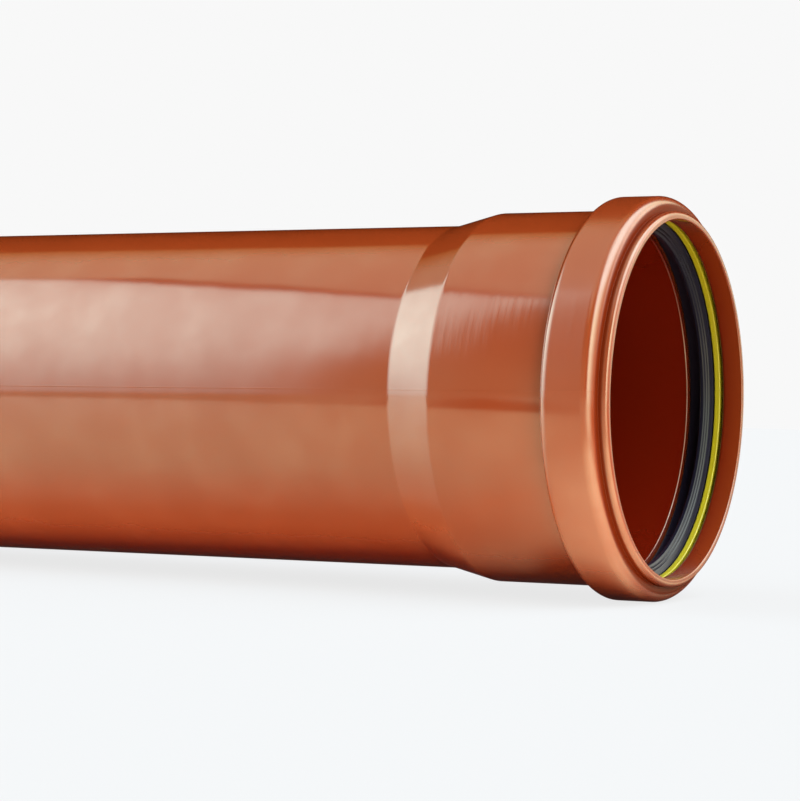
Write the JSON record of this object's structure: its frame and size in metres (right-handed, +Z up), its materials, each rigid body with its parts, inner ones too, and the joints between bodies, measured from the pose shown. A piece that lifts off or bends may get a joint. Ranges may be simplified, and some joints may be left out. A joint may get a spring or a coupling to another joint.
{
  "type": "plastic drain pipe with ring-seal socket",
  "caption": "Round plastic drain pipe with a chamfered spigot at one end and, at the other, a belled socket whose bead holds a rubber lip seal behind a plastic ring.",
  "frame": {"origin": "on the floor, under the middle of the whole pipe as it lies", "axes": "+X along the pipe, from the spigot to the mouth of the socket (the pipe's own axis rises towards the mouth by 0.85 degrees, because the bead holds that end up); +Z up"},
  "size_m": [0.56, 0.1256, 0.1258],
  "materials": {
    "pipe_plastic": "glossy terracotta-orange PVC, with slight waves in its sheen from extrusion and belling",
    "seal_rubber": "smooth black moulded rubber with a faint grey sheen",
    "ring_plastic": "plain yellow moulded plastic"
  },
  "bodies": {
    "root": {"pipe": "pipe_plastic", "rubber_seal": "seal_rubber", "retaining_ring": "ring_plastic"}
  },
  "joints": []
}
